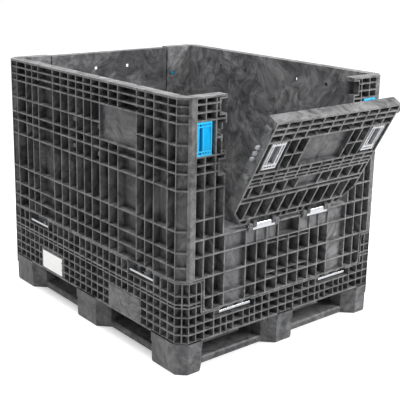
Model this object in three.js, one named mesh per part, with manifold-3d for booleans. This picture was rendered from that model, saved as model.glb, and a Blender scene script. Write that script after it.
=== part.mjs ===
// Collapsible bulk container: a pallet base with nine feet, two fixed-height
// side walls, two end walls that fold inwards onto the deck, a drop door in each
// end wall, and the sliding latches that hold the walls and doors shut.
//
// Units are millimetres, +Z is up. The origin is on the floor under the centre
// foot. X runs across the container, Y along it. The front end wall, with its
// door let down part of the way, faces -Y.

import * as THREE from 'three';
import { mergeVertices } from 'three/addons/utils/BufferGeometryUtils.js';
import Module from 'manifold-3d';

const wasm = await Module();
wasm.setup();

// Overall size: the footprint and height of the erected container
const WIDTH = 1016;
const LENGTH = 1219;
const HEIGHT = 991;

// Clearances
const FIT = 0.3; // between pieces that are held together
const RUN = 0.8; // between pieces that slide or turn
const CUT = 2; // how far a cutter stands past the face it cuts
const ROUND_SIDES = 32; // facets of a rounded rail and of the door's hinge rods

// Moulded walls: a smooth inner skin with deep ribs outside
const WALL = 45;
const SKIN = 6;
const RIB = 5;
const COLUMN_WRAP = 52; // how far a side wall's corner column covers the end face
const CHAMFER = 36; // on the container's four vertical corners
const FRAME = 7; // width of the solid frame round a ribbed field

// Base
const FORK_HEIGHT = 118; // underside of the deck
const DECK_TOP = 165;
const DECK_SKIN = 7;
const SIDE_SEAM = 348; // top of the base under the side walls
const FRONT_SEAM = 222; // top of the base under the front wall
const REAR_SEAM = 270; // higher, so that the rear wall folds over the front one
const EAR = 95; // width of the base's corner ears on the end faces
const EAR_GAP = 2.5; // round an ear, for the fold
const EAR_ROUND = 10;
const FOOT_X = 140; // corner foot, across the container
const FOOT_Y = 217; // corner foot, along the container
const MID_FOOT_X = 172;
const MID_FOOT_Y = 230;
const FOOT_CHAMFER = 45;
const SKID_INSET = 45;
const SKID_WIDTH = 92;
const SKID_HEIGHT = 28;
const SKID_BEVEL = 10;

// Hinges of the end walls and of the side walls
const FOLD_INSET = 32; // fold axis, inwards from the outer face
const FOLD_DROP = 16; // fold axis, below the seam
const SIDE_DROP = 35; // the side walls' rods lie lower under their seam
const ROD_R = 4;
const ROD_SOCKET = 12; // rod length held at each end
const LUG_R = 12;
const LUG_WIDTH = 16;
const HINGE_BAY = 150; // width of a hinge notch
const END_HINGE_U = 256; // hinge notch centre from the middle of an end wall
const SIDE_HINGE_U = 367;
const NOTCH_FLOOR = 16; // notch floor under the rod

// End walls and their doors
const SILL = 505; // height of the door's hinge axis
const DOOR_HALF = 313; // half the door's width
const DOOR_SIDE_GAP = 7;
const DOOR_TOP_DROP = 4; // door's top edge under the rim
const DOOR_TILT = 29; // degrees the front door stands open
const KNUCKLE_R = 12;
const KNUCKLE_WIDTH = 18;
const DOOR_ROD_R = 8;
const DOOR_EDGE = 7; // door and sill edges from the hinge axis
const DOOR_AXIS_OUT = 1; // hinge axis outside the outer face
const DOOR_HINGE_U = 138;
const DOOR_CORNER = 62; // chamfer at the door's lower corners
const LUG_NOTCH = 27; // depth of the notches that take the door's side lugs
const LUG_NOTCH_HEIGHT = 50;
const SIDE_LUG_R = 13;
const LUG_LOW = HEIGHT - 250; // heights of the door's side lugs, door shut
const LUG_HIGH = HEIGHT - 39;

// Latches
const WALL_LATCH_WIDTH = 65;
const WALL_LATCH_HEIGHT = 117;
const WALL_LATCH_TRAVEL = 14;
const WALL_LATCH_Z = HEIGHT - 144;
const LATCH_THICK = 9;
const LATCH_POCKET = 32;
const LATCH_RIM = 6; // latch plate past the block behind it
const TONGUE_HEIGHT = 26;
const TONGUE_REACH = 7; // past the end wall's edge, short of the side wall's inner face
const KEEPER_ROOM = 2; // round a tongue in its keeper
const GRIP_HEIGHT = 74; // finger recess in a latch
const DOOR_LATCH_WIDTH = 66;
const DOOR_LATCH_HEIGHT = 124;
const DOOR_LATCH_TRAVEL = 14;
const DOOR_LATCH_EDGE = 28; // latch plate from the door's side edge
const DOOR_LATCH_Z = HEIGHT - 148;
const BOLT_HEIGHT = 14;
const BOLT_PITCH = 25;
const BOLT_REACH = 18; // bolts past the door's side edge
const BOLT_THICK = 9;

// Card holder on the left of the base
const CARD_WIDTH = 155;
const CARD_HEIGHT = 76;
const CARD_THICK = 1;
const CARD_Y = 263;
const CARD_Z = 166;
const BLANK_WIDTH = 200;
const BLANK_HEIGHT = 92;

// Rib spacing, as shares of the span that a field of ribs fills
const SIDE_COLUMNS = [0, 0.133, 0.267, 0.4, 0.603, 0.74, 0.87, 1];
const SIDE_ROWS = [0, 0.082, 0.165, 0.283, 0.507, 0.6, 0.655, 0.75, 0.863, 0.932, 1];
const PLATE_SHARES = [0.19, 0.603]; // the smooth plate in a side wall's field
const PLATE_DEPTH = 16;
const PANEL_COLUMNS = [0, 0.172, 0.35, 0.506, 0.67, 1];
const PANEL_ROWS = [0, 0.19, 0.465, 0.74, 1];
const POST_ROWS_LOW = [0, 0.21, 0.59, 0.79, 0.89, 1];
const POST_ROWS_HIGH = [0, 0.36, 0.69, 1];
const DOOR_ROWS = [0, 0.08, 0.265, 0.32, 0.43, 0.545];
const DOOR_ROWS_TOP = [0, 0.35, 0.66, 1];
const DOOR_COLUMNS = [0.12, 0.36, 0.6, 0.8, 1];
const BASE_SIDE_COLUMNS = [0, 0.13, 0.3, 0.46, 0.62, 0.8, 1];
const BASE_SIDE_ROWS = [0, 0.29, 0.61, 0.8, 1];
const BASE_END_COLUMNS = [0, 0.16, 0.34, 0.52, 0.68, 0.84, 1];
const BASE_END_ROWS = [0, 0.48, 1];

const HALF_X = WIDTH / 2;
const HALF_Y = LENGTH / 2;
const POST_EDGE = DOOR_HALF + DOOR_SIDE_GAP; // inner edge of an end wall's posts
const END_EDGE = HALF_X - COLUMN_WRAP - RUN; // outer edge of an end wall
const LATCH_Z0 = WALL_LATCH_Z - WALL_LATCH_HEIGHT / 2 - RUN;
const LATCH_Z1 = WALL_LATCH_Z + WALL_LATCH_HEIGHT / 2 + RUN;

// Materials
const plastic = (color, roughness = 0.55) =>
  new THREE.MeshStandardMaterial({ color, roughness, metalness: 0 });
const BODY = plastic(0x3d3d3f);
const BODY_LIGHT = plastic(0x47474a);
const BLUE = plastic(0x05aeea, 0.4);
const GREY = plastic(0xc4c8cc, 0.45);
const CARD = plastic(0xf4f4f2, 0.8);
const STEEL = new THREE.MeshStandardMaterial({ color: 0xd8dade, roughness: 0.25, metalness: 1 });

// Solids

function toSolid(geometry) {
  const bare = geometry.index ? geometry.toNonIndexed() : geometry.clone();
  bare.deleteAttribute('normal');
  bare.deleteAttribute('uv');
  const merged = mergeVertices(bare, 1e-4);
  return new wasm.Manifold(new wasm.Mesh({
    numProp: 3,
    vertProperties: new Float32Array(merged.attributes.position.array),
    triVerts: new Uint32Array(merged.index.array),
  }));
}

function toGeometry(solid) {
  const mesh = solid.getMesh();
  const geometry = new THREE.BufferGeometry();
  geometry.setAttribute('position', new THREE.BufferAttribute(new Float32Array(mesh.vertProperties), 3));
  geometry.setIndex(new THREE.BufferAttribute(new Uint32Array(mesh.triVerts), 1));
  geometry.computeVertexNormals();
  return geometry;
}

const join = (...solids) => solids.reduce((sum, solid) => sum.add(solid));
const cut = (solid, ...tools) => tools.reduce((rest, tool) => rest.subtract(tool), solid);

function boxGeometry(x0, x1, y0, y1, z0, z1) {
  const geometry = new THREE.BoxGeometry(Math.abs(x1 - x0), Math.abs(y1 - y0), Math.abs(z1 - z0));
  return geometry.translate((x0 + x1) / 2, (y0 + y1) / 2, (z0 + z1) / 2);
}

const box = (...sides) => toSolid(boxGeometry(...sides));

// An outline in the panel's u and v, carried from depth n0 to n1
function slab(points, n0, n1) {
  const shape = new THREE.Shape(points.map(([u, v]) => new THREE.Vector2(u, v)));
  const geometry = new THREE.ExtrudeGeometry(shape, { depth: n1 - n0, bevelEnabled: false });
  return toSolid(geometry.translate(0, 0, n0));
}

// A round bar along u, with its axis at height v and depth n
function barGeometry(radius, u0, u1, v, n, sides = 10) {
  const geometry = new THREE.CylinderGeometry(radius, radius, u1 - u0, sides);
  return geometry.rotateZ(Math.PI / 2).translate((u0 + u1) / 2, v, n);
}

const bar = (...args) => toSolid(barGeometry(...args));

// Ribbed fields. A field's cells are the spaces between its rib lines.

const along = (start, end, shares) => shares.map((share) => start + (end - start) * share);

// Rib lines on both sides of the middle, from shares of half the span
const mirrored = (half, shares) =>
  [...new Set(shares.flatMap((s) => [-s * half, s * half]))].sort((a, b) => a - b);

function cells(us, vs) {
  const found = [];
  for (let i = 0; i + 1 < us.length; i += 1) {
    for (let j = 0; j + 1 < vs.length; j += 1) {
      found.push([us[i] + RIB / 2, us[i + 1] - RIB / 2, vs[j] + RIB / 2, vs[j + 1] - RIB / 2]);
    }
  }
  return found.filter(([u0, u1, v0, v1]) => u1 - u0 > RIB && v1 - v0 > RIB);
}

const clearOf = (list, areas) => list.filter(([u0, u1, v0, v1]) =>
  areas.every(([a0, a1, b0, b1]) => u1 < a0 || u0 > a1 || v1 < b0 || v0 > b1));

// All the pockets of one depth, as one cutter that starts at the outer face
function pockets(list, depth) {
  const shapes = list.map(([u0, u1, v0, v1]) => new THREE.Shape([
    new THREE.Vector2(u0, v0),
    new THREE.Vector2(u1, v0),
    new THREE.Vector2(u1, v1),
    new THREE.Vector2(u0, v1),
  ]));
  const geometry = new THREE.ExtrudeGeometry(shapes, { depth: depth + CUT, bevelEnabled: false });
  return toSolid(geometry.translate(0, 0, -depth));
}

// A 45 degree prism that takes the chamfer off a vertical corner at (u, n)
function cornerCut(u, n, size, v0, v1) {
  const side = size * Math.SQRT2;
  const geometry = new THREE.BoxGeometry(side * 2, v1 - v0, side);
  geometry.translate(0, 0, side / 2);
  geometry.rotateY(u > 0 ? Math.PI / 4 : -Math.PI / 4);
  const inward = u > 0 ? -size / 2 : size / 2;
  return toSolid(geometry.translate(u + inward, (v0 + v1) / 2, n - size / 2));
}

// Every wall is drawn face on: u to the right, v up, n out of the face, with
// n = 0 on the outer face. These turns stand it up on its side of the container.
const QUARTER = Math.PI / 2;
const SIDES = { front: [0, HALF_Y], right: [1, HALF_X], rear: [2, HALF_Y], left: [3, HALF_X] };

function place(solid, side) {
  const [turns, out] = SIDES[side];
  const matrix = new THREE.Matrix4().makeRotationZ(turns * QUARTER);
  matrix.multiply(new THREE.Matrix4().makeRotationX(QUARTER));
  matrix.multiply(new THREE.Matrix4().makeTranslation(0, 0, out));
  return solid.transform(matrix.elements);
}

// Hinge lugs under a wall, drilled for the rod
function hingeLugs(centre, seam, drop, inset) {
  const axis = seam - drop;
  const parts = [-1, 1].map((k) => {
    const u = centre + (k * HINGE_BAY) / 5;
    const eye = bar(LUG_R, u - LUG_WIDTH / 2, u + LUG_WIDTH / 2, axis, -inset);
    const neck = box(u - LUG_WIDTH / 2, u + LUG_WIDTH / 2, axis, seam + RIB,
      -inset - LUG_R * 0.8, -inset + LUG_R * 0.8);
    return join(eye, neck);
  });
  return cut(join(...parts), bar(ROD_R + FIT, centre - HINGE_BAY, centre + HINGE_BAY, axis, -inset));
}

// The notch that the lugs turn in, and the rod's sockets at its two ends
function hingeNotch(centre, seam, drop, inset, depth) {
  const axis = seam - drop;
  const notch = box(centre - HINGE_BAY / 2, centre + HINGE_BAY / 2, axis - NOTCH_FLOOR, seam + CUT,
    -depth, CUT);
  const reach = HINGE_BAY / 2 + ROD_SOCKET + FIT;
  return join(notch, bar(ROD_R + FIT, centre - reach, centre + reach, axis, -inset));
}

// Side wall, with the two corner columns that wrap on to the end faces
function sideWall() {
  const bottom = SIDE_SEAM + FIT;
  const field = HALF_Y - CHAMFER - 2;
  const us = mirrored(field, SIDE_COLUMNS);
  const vs = along(bottom + FRAME / 2, HEIGHT - FRAME / 2, SIDE_ROWS);
  const [plate0, plate1] = along(0, field, PLATE_SHARES);
  const plates = [[plate0 + RIB / 2, plate1 - RIB / 2, vs[6] + RIB / 2, vs[8] - RIB / 2]];
  let wall = box(-HALF_Y, HALF_Y, bottom, HEIGHT, -WALL, 0);
  for (const end of [-1, 1]) {
    wall = join(wall, box(end * (HALF_Y - WALL), end * HALF_Y, bottom, HEIGHT, -COLUMN_WRAP, 0));
    wall = cut(wall, cornerCut(end * HALF_Y, 0, CHAMFER, bottom - CUT, HEIGHT + CUT));
  }
  wall = cut(wall, pockets(clearOf(cells(us, vs), plates), WALL - SKIN));
  wall = cut(wall, pockets(plates, PLATE_DEPTH));
  for (const end of [-1, 1]) {
    // The keeper is open inwards, so that the end wall folds with its latches at rest
    const keeper = box(end * (HALF_Y - LATCH_POCKET + BOLT_THICK + KEEPER_ROOM), end * (HALF_Y - WALL - CUT),
      WALL_LATCH_Z - TONGUE_HEIGHT / 2 - KEEPER_ROOM, WALL_LATCH_Z + TONGUE_HEIGHT / 2 + KEEPER_ROOM,
      -COLUMN_WRAP - CUT, -COLUMN_WRAP + TONGUE_REACH + KEEPER_ROOM);
    wall = cut(wall, keeper);
    wall = join(wall, hingeLugs(end * SIDE_HINGE_U, SIDE_SEAM, SIDE_DROP, FOLD_INSET));
  }
  return wall;
}

// End wall: two posts over a ribbed lower panel, with the door opening between
function endWall(seam) {
  const low = HALF_X - EAR - EAR_GAP;
  const step = SIDE_SEAM + EAR_GAP;
  const bottom = seam + RUN;
  const sill = SILL - DOOR_EDGE;
  const outline = [
    [-low, bottom], [low, bottom], [low, step], [END_EDGE, step], [END_EDGE, HEIGHT], [POST_EDGE, HEIGHT],
    [POST_EDGE, sill], [-POST_EDGE, sill], [-POST_EDGE, HEIGHT], [-END_EDGE, HEIGHT], [-END_EDGE, step],
    [-low, step],
  ];
  let wall = slab(outline, -WALL, 0);

  const rows = along(bottom + FRAME / 2, sill - FRAME / 2, PANEL_ROWS);
  const inner = mirrored(POST_EDGE, PANEL_COLUMNS);
  const thirds = along(POST_EDGE, END_EDGE - FRAME / 2, [0, 0.34, 0.67, 1]);
  const postLow = along(sill - FRAME / 2, LATCH_Z0 - RIB / 2, POST_ROWS_LOW);
  const postHigh = along(LATCH_Z1 + RIB / 2, HEIGHT - FRAME / 2, POST_ROWS_HIGH);
  const hingeSeat = [DOOR_HINGE_U - HINGE_BAY / 2, DOOR_HINGE_U + HINGE_BAY / 2, rows[3], sill];
  const doorNotch = [LUG_LOW, LUG_HIGH].map((z) => [POST_EDGE - CUT, POST_EDGE + LUG_NOTCH + RIB,
    z - LUG_NOTCH_HEIGHT / 2 - RIB, z + LUG_NOTCH_HEIGHT / 2 + RIB]);
  const boltPocket = [POST_EDGE - CUT, POST_EDGE + BOLT_REACH + RIB, LATCH_Z0 - RIB, LATCH_Z1];

  const right = [
    ...cells(thirds.filter((u) => u < low), rows.filter((v) => v < step)),
    ...cells(thirds, rows.filter((v) => v > step)),
    ...cells(thirds, postLow),
    ...cells(thirds, postHigh),
    ...cells(thirds.slice(0, 2), [LATCH_Z0 - RIB / 2, WALL_LATCH_Z, LATCH_Z1 + RIB / 2]),
  ];
  const kept = clearOf(right, [...doorNotch, boltPocket]);
  const left = kept.map(([u0, u1, v0, v1]) => [-u1, -u0, v0, v1]);
  const leftSeat = [-hingeSeat[1], -hingeSeat[0], hingeSeat[2], hingeSeat[3]];
  const middle = clearOf(cells(inner, rows), [hingeSeat, leftSeat]);
  wall = cut(wall, pockets([...kept, ...left, ...middle], WALL - SKIN));

  for (const end of [-1, 1]) {
    const latch0 = END_EDGE - RIB;
    const latch1 = latch0 - WALL_LATCH_WIDTH - WALL_LATCH_TRAVEL - 2 * RUN;
    wall = cut(wall, box(end * latch0, end * latch1, LATCH_Z0, LATCH_Z1, -LATCH_POCKET, CUT));
    wall = cut(wall, box(end * (latch0 - RIB), end * (END_EDGE + CUT),
      WALL_LATCH_Z - TONGUE_HEIGHT / 2 - RUN, WALL_LATCH_Z + TONGUE_HEIGHT / 2 + RUN,
      -LATCH_POCKET, -LATCH_POCKET + BOLT_THICK + 2 * RUN));
    for (const z of [LUG_LOW, LUG_HIGH]) {
      wall = cut(wall, box(end * (POST_EDGE - CUT), end * (POST_EDGE + LUG_NOTCH),
        z - LUG_NOTCH_HEIGHT / 2, z + LUG_NOTCH_HEIGHT / 2, -WALL + 12, CUT));
    }
    wall = cut(wall, box(end * (POST_EDGE - CUT), end * (POST_EDGE + BOLT_REACH),
      DOOR_LATCH_Z - 2 * BOLT_PITCH, DOOR_LATCH_Z + 2 * BOLT_PITCH, -WALL + 12, CUT));
    const seat = end * DOOR_HINGE_U;
    wall = cut(wall, box(seat - HINGE_BAY / 2, seat + HINGE_BAY / 2, sill - KNUCKLE_R, sill + CUT,
      -KNUCKLE_R - 4, CUT));
    wall = join(wall, doorKnuckles(seat, 1, -1));
    wall = join(wall, hingeLugs(end * END_HINGE_U, seam, FOLD_DROP, FOLD_INSET));
  }
  return wall;
}

// Two eyes for the door's hinge rod. The wall's stand outside the door's.
function doorKnuckles(centre, place, direction) {
  const eyes = [-1, 1].map((k) => {
    const outer = HINGE_BAY / 2 - RUN - (place ? 0 : KNUCKLE_WIDTH + RUN);
    const u0 = centre + k * outer;
    const u1 = centre + k * (outer - KNUCKLE_WIDTH);
    const [a, b] = [Math.min(u0, u1), Math.max(u0, u1)];
    const eye = bar(KNUCKLE_R, a, b, SILL, DOOR_AXIS_OUT);
    const tip = SILL + direction * (DOOR_EDGE + KNUCKLE_R + CUT);
    const neck = box(a, b, Math.min(SILL, tip), Math.max(SILL, tip), -KNUCKLE_R - 5, -0.01);
    return join(eye, neck);
  });
  return cut(join(...eyes), bar(DOOR_ROD_R + FIT, centre - HINGE_BAY, centre + HINGE_BAY, SILL,
    DOOR_AXIS_OUT, ROUND_SIDES));
}

// Drop door, drawn shut
function dropDoor() {
  const bottom = SILL + DOOR_EDGE;
  const top = HEIGHT - DOOR_TOP_DROP;
  const half = DOOR_HALF;
  const outline = [
    [-half + DOOR_CORNER, bottom], [half - DOOR_CORNER, bottom], [half, bottom + DOOR_CORNER * 1.2],
    [half, top], [-half, top], [-half, bottom + DOOR_CORNER * 1.2],
  ];
  let door = slab(outline, -WALL, 0);
  const latchTop = DOOR_LATCH_Z + DOOR_LATCH_HEIGHT / 2;
  const latchBottom = DOOR_LATCH_Z - DOOR_LATCH_HEIGHT / 2;
  const rows = along(bottom + FRAME / 2, top - FRAME / 2, DOOR_ROWS);
  const high = along(latchTop + RIB, top - FRAME / 2, DOOR_ROWS_TOP);
  const us = mirrored(half - FRAME / 2, DOOR_COLUMNS);
  const latch0 = half - DOOR_LATCH_EDGE;
  const latch1 = latch0 - DOOR_LATCH_WIDTH - DOOR_LATCH_TRAVEL - 2 * RUN;
  const middle = [rows[rows.length - 1], (latchTop + latchBottom) / 2, high[0]];
  const recess = [-latch1 * 0.5, latch1 * 0.5, middle[0] + RIB / 2, middle[2] - RIB / 2];
  const quads = along(recess[1] + RIB / 2, latch1 - RIB, [0, 0.5, 1]);
  const sideCells = cells(quads, middle);
  const list = [
    ...cells(us, rows), ...cells(us, high),
    ...sideCells, ...sideCells.map(([u0, u1, v0, v1]) => [-u1, -u0, v0, v1]),
  ].filter(([u0, u1, v0]) => v0 > bottom + DOOR_CORNER * 1.2 || Math.max(-u0, u1) < half - DOOR_CORNER);
  door = cut(door, pockets(list, WALL - SKIN), pockets([recess], WALL * 0.45));
  for (const end of [-1, 1]) {
    door = cut(door, box(end * latch0, end * latch1, latchBottom - RUN, latchTop + RUN, -LATCH_POCKET, CUT));
    for (const k of [-1, 0, 1]) {
      const z = DOOR_LATCH_Z + k * BOLT_PITCH;
      door = cut(door, box(end * (latch0 - RIB), end * (half + CUT), z - BOLT_HEIGHT / 2 - RUN,
        z + BOLT_HEIGHT / 2 + RUN, -LATCH_POCKET, -LATCH_POCKET + BOLT_THICK + 2 * RUN));
    }
    for (const z of [LUG_LOW, LUG_HIGH]) {
      const disc = new THREE.CylinderGeometry(SIDE_LUG_R, SIDE_LUG_R, WALL - 20, 16);
      disc.rotateX(QUARTER).translate(end * (half + 9), z, -WALL / 2 + 6);
      door = join(door, toSolid(disc), box(end * (half - RIB), end * (half + 9),
        z - SIDE_LUG_R, z + SIDE_LUG_R, -WALL + 16, -4));
    }
    const seat = end * DOOR_HINGE_U;
    door = cut(door, box(seat - HINGE_BAY / 2, seat + HINGE_BAY / 2, bottom - CUT, bottom + KNUCKLE_R,
      -KNUCKLE_R - 4, CUT));
    door = join(door, doorKnuckles(seat, 0, 1));
  }
  return door;
}

// Wall latch: a plate with a finger recess, and a tongue behind it
function wallLatch(end) {
  const outer = END_EDGE - RIB - RUN;
  const inner = outer - WALL_LATCH_WIDTH;
  const z0 = WALL_LATCH_Z - WALL_LATCH_HEIGHT / 2;
  const z1 = WALL_LATCH_Z + WALL_LATCH_HEIGHT / 2;
  const plate = box(end * inner, end * outer, z0, z1, -LATCH_THICK, -1);
  const block = box(end * (inner + LATCH_RIM), end * (outer - LATCH_RIM), z0 + 10, z1 - 10,
    -LATCH_POCKET + RUN, -LATCH_THICK + 1);
  const tongue = box(end * (outer - 2 * LATCH_RIM), end * (END_EDGE + TONGUE_REACH),
    WALL_LATCH_Z - TONGUE_HEIGHT / 2, WALL_LATCH_Z + TONGUE_HEIGHT / 2,
    -LATCH_POCKET + RUN, -LATCH_POCKET + RUN + BOLT_THICK);
  const grip = box(end * (outer - 4 * LATCH_RIM), end * (outer - 2 * LATCH_RIM),
    WALL_LATCH_Z - GRIP_HEIGHT / 2, WALL_LATCH_Z + GRIP_HEIGHT / 2, -LATCH_POCKET + 2 * BOLT_THICK, CUT);
  return cut(join(plate, block, tongue), grip);
}

// Door latch: a plate with three bolts that leave through the door's side edge
function doorLatch(end) {
  const outer = DOOR_HALF - DOOR_LATCH_EDGE - RUN;
  const inner = outer - DOOR_LATCH_WIDTH;
  const z0 = DOOR_LATCH_Z - DOOR_LATCH_HEIGHT / 2;
  const z1 = DOOR_LATCH_Z + DOOR_LATCH_HEIGHT / 2;
  const plate = box(end * inner, end * outer, z0, z1, -LATCH_THICK, -1);
  const block = box(end * (inner + LATCH_RIM), end * (outer - LATCH_RIM), z0 + 10, z1 - 10,
    -LATCH_POCKET + RUN, -LATCH_THICK + 1);
  const bolts = [-1, 0, 1].map((k) => {
    const z = DOOR_LATCH_Z + k * BOLT_PITCH;
    return box(end * (outer - 8), end * (DOOR_HALF + BOLT_REACH - 4),
      z - BOLT_HEIGHT / 2, z + BOLT_HEIGHT / 2, -LATCH_POCKET + RUN, -LATCH_POCKET + RUN + BOLT_THICK);
  });
  const grip = box(end * (inner + 3 * LATCH_RIM), end * (outer - 2 * LATCH_RIM),
    DOOR_LATCH_Z - GRIP_HEIGHT / 2, DOOR_LATCH_Z + GRIP_HEIGHT / 2, -2 * LATCH_THICK, CUT);
  return cut(join(plate, block, ...bolts), grip);
}

// Foot: a block with its free corners cut off, from the floor to the deck
function foot(x0, x1, y0, y1, chamfers) {
  const [a, b, c, d] = chamfers; // at (x0, y0), (x1, y0), (x1, y1), (x0, y1)
  const points = [
    [x0 + a, y0], [x1 - b, y0], [x1, y0 + b], [x1, y1 - c],
    [x1 - c, y1], [x0 + d, y1], [x0, y1 - d], [x0, y0 + a],
  ];
  return slab(points, 0, FORK_HEIGHT + DECK_SKIN);
}

function feet() {
  const free = Array(4).fill(FOOT_CHAMFER);
  const found = [foot(-MID_FOOT_X / 2, MID_FOOT_X / 2, -MID_FOOT_Y / 2, MID_FOOT_Y / 2, free)];
  for (const i of [-1, 1]) {
    const x = [i * HALF_X, i * (HALF_X - FOOT_X)].sort((p, q) => p - q);
    const y = [i * HALF_Y, i * (HALF_Y - FOOT_Y)].sort((p, q) => p - q);
    found.push(foot(x[0], x[1], -MID_FOOT_Y / 2, MID_FOOT_Y / 2, free));
    found.push(foot(-MID_FOOT_X / 2, MID_FOOT_X / 2, y[0], y[1], free));
    for (const j of [-1, 1]) {
      const ys = [j * HALF_Y, j * (HALF_Y - FOOT_Y)].sort((p, q) => p - q);
      const chamfers = [[-1, -1], [1, -1], [1, 1], [-1, 1]].map(([p, q]) =>
        (p === i && q === j ? CHAMFER : FOOT_CHAMFER));
      found.push(foot(x[0], x[1], ys[0], ys[1], chamfers));
    }
  }
  return join(...found);
}

// Skid bars between the feet, on the floor, with bevelled top edges
function skid(length) {
  const half = SKID_WIDTH / 2;
  const shape = [[-half, 0], [half, 0], [half, SKID_HEIGHT - SKID_BEVEL], [half - SKID_BEVEL, SKID_HEIGHT],
    [-half + SKID_BEVEL, SKID_HEIGHT], [-half, SKID_HEIGHT - SKID_BEVEL]];
  return slab(shape, -length / 2, length / 2);
}

function skids() {
  const found = [];
  const stand = new THREE.Matrix4().makeRotationX(QUARTER);
  for (const x of [-1, 0, 1]) {
    const matrix = new THREE.Matrix4().makeTranslation(x * (HALF_X - SKID_INSET - SKID_WIDTH / 2), 0, 0);
    matrix.multiply(stand);
    found.push(skid(LENGTH - 2 * SKID_INSET).transform(matrix.elements));
  }
  for (const y of [-1, 0, 1]) {
    const matrix = new THREE.Matrix4().makeTranslation(0, y * (HALF_Y - SKID_INSET - SKID_WIDTH / 2), 0);
    matrix.multiply(new THREE.Matrix4().makeRotationZ(QUARTER)).multiply(stand);
    found.push(skid(WIDTH - 2 * SKID_INSET).transform(matrix.elements));
  }
  return join(...found);
}

// Base rail under a side wall
function baseSide(withCard) {
  const top = SIDE_SEAM;
  const field = HALF_Y - CHAMFER - 2;
  const us = mirrored(field, BASE_SIDE_COLUMNS);
  const vs = along(FORK_HEIGHT + FRAME / 2, top - FRAME / 2, BASE_SIDE_ROWS);
  const holes = [-1, 1].map((end) => [end * SIDE_HINGE_U - HINGE_BAY / 2 - ROD_SOCKET - RIB,
    end * SIDE_HINGE_U + HINGE_BAY / 2 + ROD_SOCKET + RIB, SIDE_SEAM - SIDE_DROP - NOTCH_FLOOR - RIB, top]);
  const card = [-CARD_Y - CARD_WIDTH / 2 - RIB, -CARD_Y + CARD_WIDTH / 2 + RIB,
    CARD_Z - CARD_HEIGHT / 2 - RIB, CARD_Z + CARD_HEIGHT / 2 + RIB];
  const blank = [CARD_Y - BLANK_WIDTH / 2, CARD_Y + BLANK_WIDTH / 2,
    CARD_Z - BLANK_HEIGHT / 2, CARD_Z + BLANK_HEIGHT / 2];
  const areas = withCard ? [...holes, card, blank] : holes;
  let rail = box(-HALF_Y, HALF_Y, FORK_HEIGHT, top, -WALL, 0);
  rail = cut(rail, pockets(clearOf(cells(us, vs), areas), WALL - SKIN));
  for (const end of [-1, 1]) {
    rail = cut(rail, hingeNotch(end * SIDE_HINGE_U, top, SIDE_DROP, FOLD_INSET, WALL + CUT));
  }
  if (withCard) {
    rail = cut(rail, pockets([[-CARD_Y - CARD_WIDTH / 2 - FIT, -CARD_Y + CARD_WIDTH / 2 + FIT,
      CARD_Z - CARD_HEIGHT / 2 - FIT, CARD_Z + CARD_HEIGHT / 2 + FIT]], CARD_THICK + 1 + FIT));
    rail = cut(rail, pockets([blank], 3));
  }
  return rail;
}

// Base rail under an end wall, with its top inner edge rounded for the fold
function baseEnd(seam) {
  const vs = along(FORK_HEIGHT + FRAME / 2, seam - FRAME / 2, BASE_END_ROWS);
  const us = mirrored(HALF_X - CHAMFER - 2, BASE_END_COLUMNS);
  const holes = [-1, 1].map((end) => [end * END_HINGE_U - HINGE_BAY / 2 - ROD_SOCKET - RIB,
    end * END_HINGE_U + HINGE_BAY / 2 + ROD_SOCKET + RIB, seam - FOLD_DROP - NOTCH_FLOOR - RIB, seam]);
  const axis = seam - FOLD_DROP;
  const corner = box(-HALF_X - CUT, HALF_X + CUT, axis, seam + CUT, -WALL - CUT, -FOLD_INSET);
  const round = bar(FOLD_DROP, -HALF_X - 2 * CUT, HALF_X + 2 * CUT, axis, -FOLD_INSET, ROUND_SIDES);
  let rail = cut(box(-HALF_X, HALF_X, FORK_HEIGHT, seam, -WALL, 0), cut(corner, round));
  rail = cut(rail, pockets(clearOf(cells(us, vs), holes), WALL - SKIN));
  for (const end of [-1, 1]) {
    rail = cut(rail, hingeNotch(end * END_HINGE_U, seam, FOLD_DROP, FOLD_INSET, WALL + CUT));
    const ear = [[end * (HALF_X - EAR), FORK_HEIGHT], [end * HALF_X, FORK_HEIGHT], [end * HALF_X, SIDE_SEAM],
      [end * (HALF_X - EAR + EAR_ROUND), SIDE_SEAM], [end * (HALF_X - EAR), SIDE_SEAM - EAR_ROUND]];
    rail = join(rail, slab(ear, -WALL, 0));
  }
  return rail;
}

function base() {
  const deck = box(-HALF_X + RIB, HALF_X - RIB, -HALF_Y + RIB, HALF_Y - RIB, FORK_HEIGHT, DECK_TOP);
  const us = along(-HALF_X + WALL, HALF_X - WALL, [0, 0.25, 0.5, 0.75, 1]);
  const vs = along(-HALF_Y + WALL, HALF_Y - WALL, [0, 0.25, 0.5, 0.75, 1]);
  const under = pockets(cells(us, vs), DECK_TOP - DECK_SKIN - FORK_HEIGHT).mirror([0, 0, 1]);
  let solid = cut(deck, under.translate([0, 0, FORK_HEIGHT]));
  solid = join(solid, place(baseSide(true), 'left'), place(baseSide(false), 'right'));
  solid = join(solid, place(baseEnd(FRONT_SEAM), 'front'), place(baseEnd(REAR_SEAM), 'rear'));
  for (const side of ['front', 'rear']) {
    for (const end of [-1, 1]) {
      solid = cut(solid, place(cornerCut(end * HALF_X, 0, CHAMFER, -CUT, HEIGHT), side));
    }
  }
  return join(solid, feet(), skids());
}

// Assembly

const container = new THREE.Group();

function add(parent, name, geometry, material) {
  const mesh = new THREE.Mesh(geometry, material);
  mesh.name = name;
  parent.add(mesh);
  return mesh;
}

// A group whose own axes are a wall's u, v and n
function wallGroup(parent, side) {
  const [turns, out] = SIDES[side];
  const turned = new THREE.Group();
  turned.rotation.z = turns * QUARTER;
  const upright = new THREE.Group();
  upright.rotation.x = QUARTER;
  const face = new THREE.Group();
  face.position.z = out;
  upright.add(face);
  turned.add(upright);
  parent.add(turned);
  return face;
}

const END_NAMES = { '-1': 'left', 1: 'right' };

add(container, 'pallet_base', toGeometry(base()), BODY);

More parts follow.
